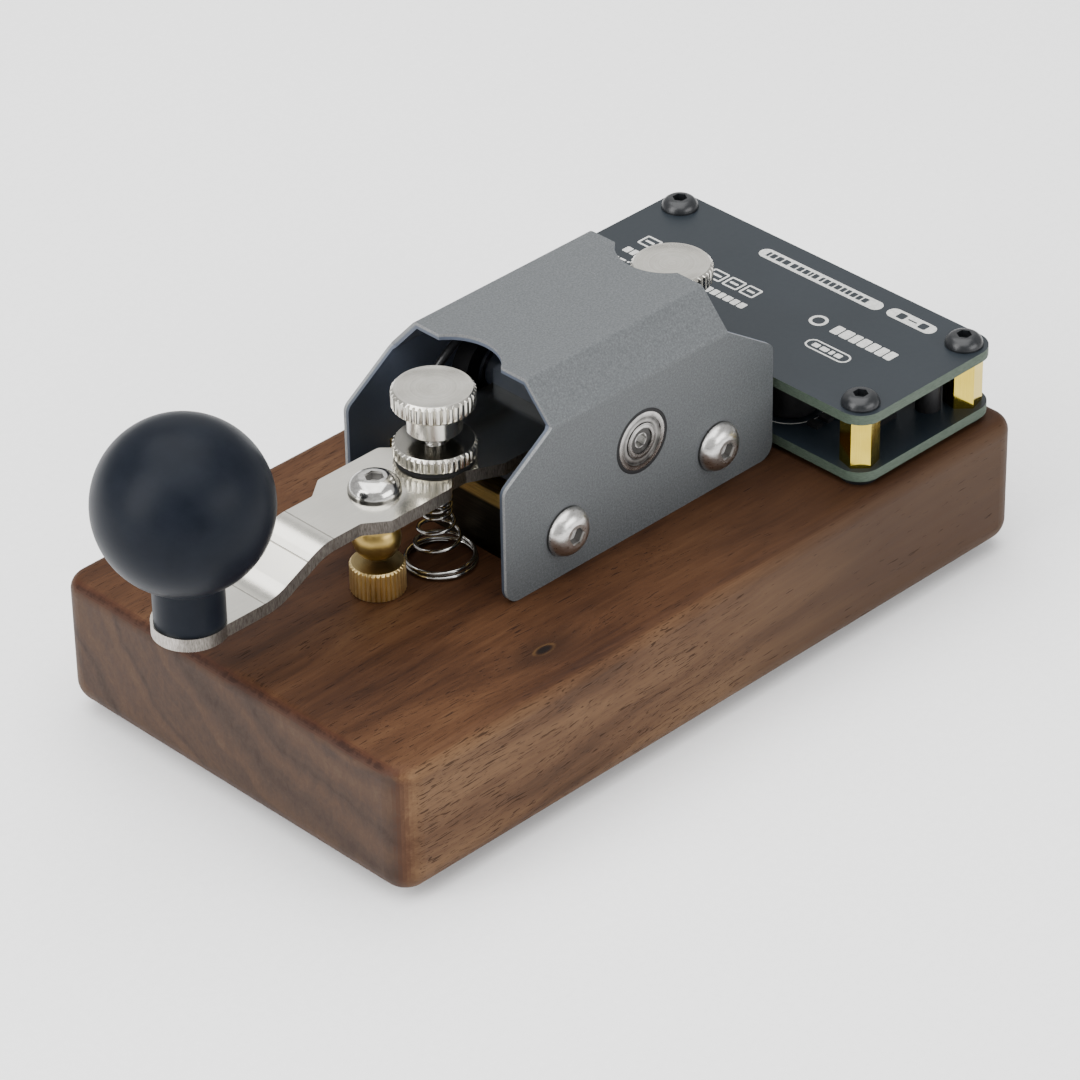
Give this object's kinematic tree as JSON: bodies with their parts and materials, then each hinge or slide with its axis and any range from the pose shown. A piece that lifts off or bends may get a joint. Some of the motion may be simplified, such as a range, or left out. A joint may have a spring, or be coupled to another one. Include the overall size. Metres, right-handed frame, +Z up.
{
  "type": "morse key",
  "caption": "Straight morse key: ball knob on a rocking lever in ball bearings under a folded housing, on a hardwood block with a sounder board stack.",
  "frame": {"origin": "middle of the whole key's box, on the surface it stands on", "axes": "+X from the knob to the sounder boards, +Y to the far side, +Z up"},
  "size_m": [0.1429, 0.07, 0.0652],
  "materials": {
    "walnut": "oiled walnut, satin, open grain",
    "rubber": "matt black rubber",
    "powder_coat": "fine-textured grey powder coat outside",
    "brass": "satin turned brass",
    "nickel": "satin nickel plate",
    "stainless": "polished stainless steel",
    "bearing_steel": "ground bearing steel",
    "black_plastic": "matt black moulding",
    "knob_black": "smooth matt navy black",
    "spring_wire": "bright spring wire",
    "board_black": "black solder mask over glass laminate",
    "black_oxide": "black oxide screws",
    "zinc_steel": "plain plated steel",
    "wire_black": "black wire insulation",
    "cell_steel": "stainless cell can"
  },
  "bodies": {
    "frame": {"wood_base": "walnut", "rubber_feet": "rubber", "block_bolts": "zinc_steel", "board_bolts": "zinc_steel", "post_bolts": "zinc_steel", "housing": "powder_coat", "front_mounting_block": "brass", "rear_mounting_block": "brass", "housing_screws": "stainless", "bearing_outer_rings": "bearing_steel", "bearing_balls": "bearing_steel", "bearing_shields": "bearing_steel", "bearing_seats": "black_plastic", "contact_post": "brass", "stop_post": "brass", "tension_spring": "spring_wire", "lower_board": "board_black", "upper_board": "board_black", "board_washers": "black_plastic", "board_standoffs": "brass", "board_screws": "black_oxide", "buzzer": "black_plastic", "audio_jack": "black_plastic", "slide_switch": "zinc_steel", "coin_cell": "cell_steel", "cell_holder": "black_plastic", "cell_clip": "zinc_steel", "board_chips": "black_plastic", "contact_wire": "wire_black", "frame_wire": "wire_black"},
    "lever": {"lever_plate": "nickel", "tail_plate": "nickel", "pivot_block": "black_oxide", "pivot_shaft": "bearing_steel", "pivot_sleeves": "black_oxide", "bearing_inner_rings": "bearing_steel", "lever_fixing_screws": "stainless", "knob": "knob_black", "knob_screw": "stainless", "contact_screw": "stainless", "contact_ball": "brass", "locknut_washers": "rubber"},
    "tension_rod": {"tension_shank": "stainless"},
    "tension_knob": {"tension_head": "nickel"},
    "tension_nut": {"tension_locknut": "nickel"},
    "gap_rod": {"gap_shank": "stainless"},
    "gap_knob": {"gap_head": "nickel"},
    "gap_nut": {"gap_locknut": "nickel"},
    "switch_lever": {"switch_slider": "black_plastic"}
  },
  "joints": [
    {"name": "lever_pivot", "type": "hinge", "parent": "frame", "child": "lever", "pos_m": [0.01155, 0, 0.0374], "axis": [0, -1, 0], "range_deg": [0, 0.76], "stiffness_Nm_per_rad": 0.18, "springref_deg": -20.05, "deforming": ["tension_spring"]},
    {"name": "tension_turn", "type": "hinge", "parent": "tension_rod", "child": "tension_knob", "pos_m": [-0.01305, 0, 0.0505], "axis": [0, 0, 1], "range_deg": [-1080, 1080]},
    {"name": "tension_feed", "type": "slide", "parent": "lever", "child": "tension_rod", "axis": [0, 0, 1], "range_m": [-0.0015, 0.0015]},
    {"name": "tension_nut_turn", "type": "hinge", "parent": "lever", "child": "tension_nut", "pos_m": [-0.01305, 0, 0.0395], "axis": [0, 0, 1], "range_deg": [0, 360]},
    {"name": "gap_turn", "type": "hinge", "parent": "gap_rod", "child": "gap_knob", "pos_m": [0.03435, 0, 0.0501], "axis": [0, 0, 1], "range_deg": [0, 1440]},
    {"name": "gap_feed", "type": "slide", "parent": "lever", "child": "gap_rod", "axis": [0, 0, 1], "range_m": [0, 0.002]},
    {"name": "gap_nut_turn", "type": "hinge", "parent": "lever", "child": "gap_nut", "pos_m": [0.03435, 0, 0.0395], "axis": [0, 0, 1], "range_deg": [0, 360]},
    {"name": "switch_slide", "type": "slide", "parent": "frame", "child": "switch_lever", "axis": [0, -1, 0], "range_m": [0, 0.002]}
  ],
  "couplings": [
    {"joint": "tension_turn", "follows": "tension_feed", "rad_per_m": 12566},
    {"joint": "gap_turn", "follows": "gap_feed", "rad_per_m": 12566}
  ]
}
